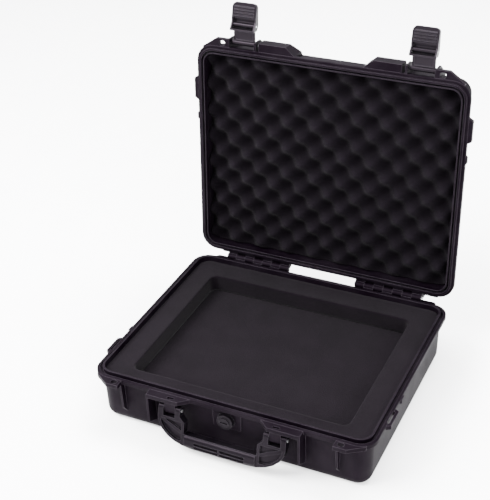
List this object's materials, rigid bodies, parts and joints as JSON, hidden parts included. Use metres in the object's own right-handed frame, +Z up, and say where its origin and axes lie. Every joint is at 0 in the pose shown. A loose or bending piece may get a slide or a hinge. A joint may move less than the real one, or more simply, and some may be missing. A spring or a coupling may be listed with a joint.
{
  "type": "laptop hard case",
  "caption": "Moulded hard case, open: deep base with a foam laptop bay, hinged lid with egg-crate foam, swinging carry handle, lever latches and a vent valve.",
  "frame": {"origin": "on the flat underside of the base, under the middle of the rim", "axes": "+X to the right along the hinge line, +Y from the handle to the hinges, +Z up"},
  "size_m": [0.473, 0.4871, 0.5441],
  "materials": {
    "shell": "fine grained satin",
    "handle": "satin",
    "latch": "satin",
    "valve": "satin",
    "foam": "open cell foam",
    "crate_foam": "open cell foam",
    "seal": "matt",
    "steel": "satin"
  },
  "bodies": {
    "base": {"base_shell": "shell", "base_foam": "foam", "base_foam_pad": "foam", "valve_body": "valve", "valve_gasket": "seal", "valve_nut": "valve", "hinge_pins": "steel", "handle_pins": "steel"},
    "lid": {"lid_shell": "shell", "lid_foam": "crate_foam", "lid_seal": "seal", "latch_pins": "steel"},
    "handle": {"carry_handle": "handle"},
    "knob": {"valve_knob": "valve"},
    "link_right": {"latch_link_right": "latch"},
    "lever_right": {"latch_lever_right": "latch", "lever_pin_right": "steel"},
    "link_left": {"latch_link_left": "latch"},
    "lever_left": {"latch_lever_left": "latch", "lever_pin_left": "steel"}
  },
  "joints": [
    {"name": "lid_hinge", "type": "hinge", "parent": "base", "child": "lid", "pos_m": [0, 0.1968, 0.088], "axis": [-1, 0, 0], "range_deg": [-93.24, 0]},
    {"name": "handle_swing", "type": "hinge", "parent": "base", "child": "handle", "pos_m": [0, -0.196, 0.068], "axis": [-1, 0, 0], "range_deg": [-13, 103]},
    {"name": "vent_turn", "type": "hinge", "parent": "base", "child": "knob", "pos_m": [0, -0.19, 0.064], "axis": [0, -1, 0], "range_deg": [0, 90]},
    {"name": "latch_swing_right", "type": "hinge", "parent": "lid", "child": "link_right", "pos_m": [0.15, 0.23292, 0.47838], "axis": [-1, 0, 0], "range_deg": [-90, 30]},
    {"name": "lever_fold_right", "type": "hinge", "parent": "link_right", "child": "lever_right", "pos_m": [0.15, 0.23462, 0.50833], "axis": [-1, 0, 0], "range_deg": [0, 80]},
    {"name": "latch_swing_left", "type": "hinge", "parent": "lid", "child": "link_left", "pos_m": [-0.15, 0.23292, 0.47838], "axis": [-1, 0, 0], "range_deg": [-90, 30]},
    {"name": "lever_fold_left", "type": "hinge", "parent": "link_left", "child": "lever_left", "pos_m": [-0.15, 0.23462, 0.50833], "axis": [-1, 0, 0], "range_deg": [0, 80]}
  ]
}
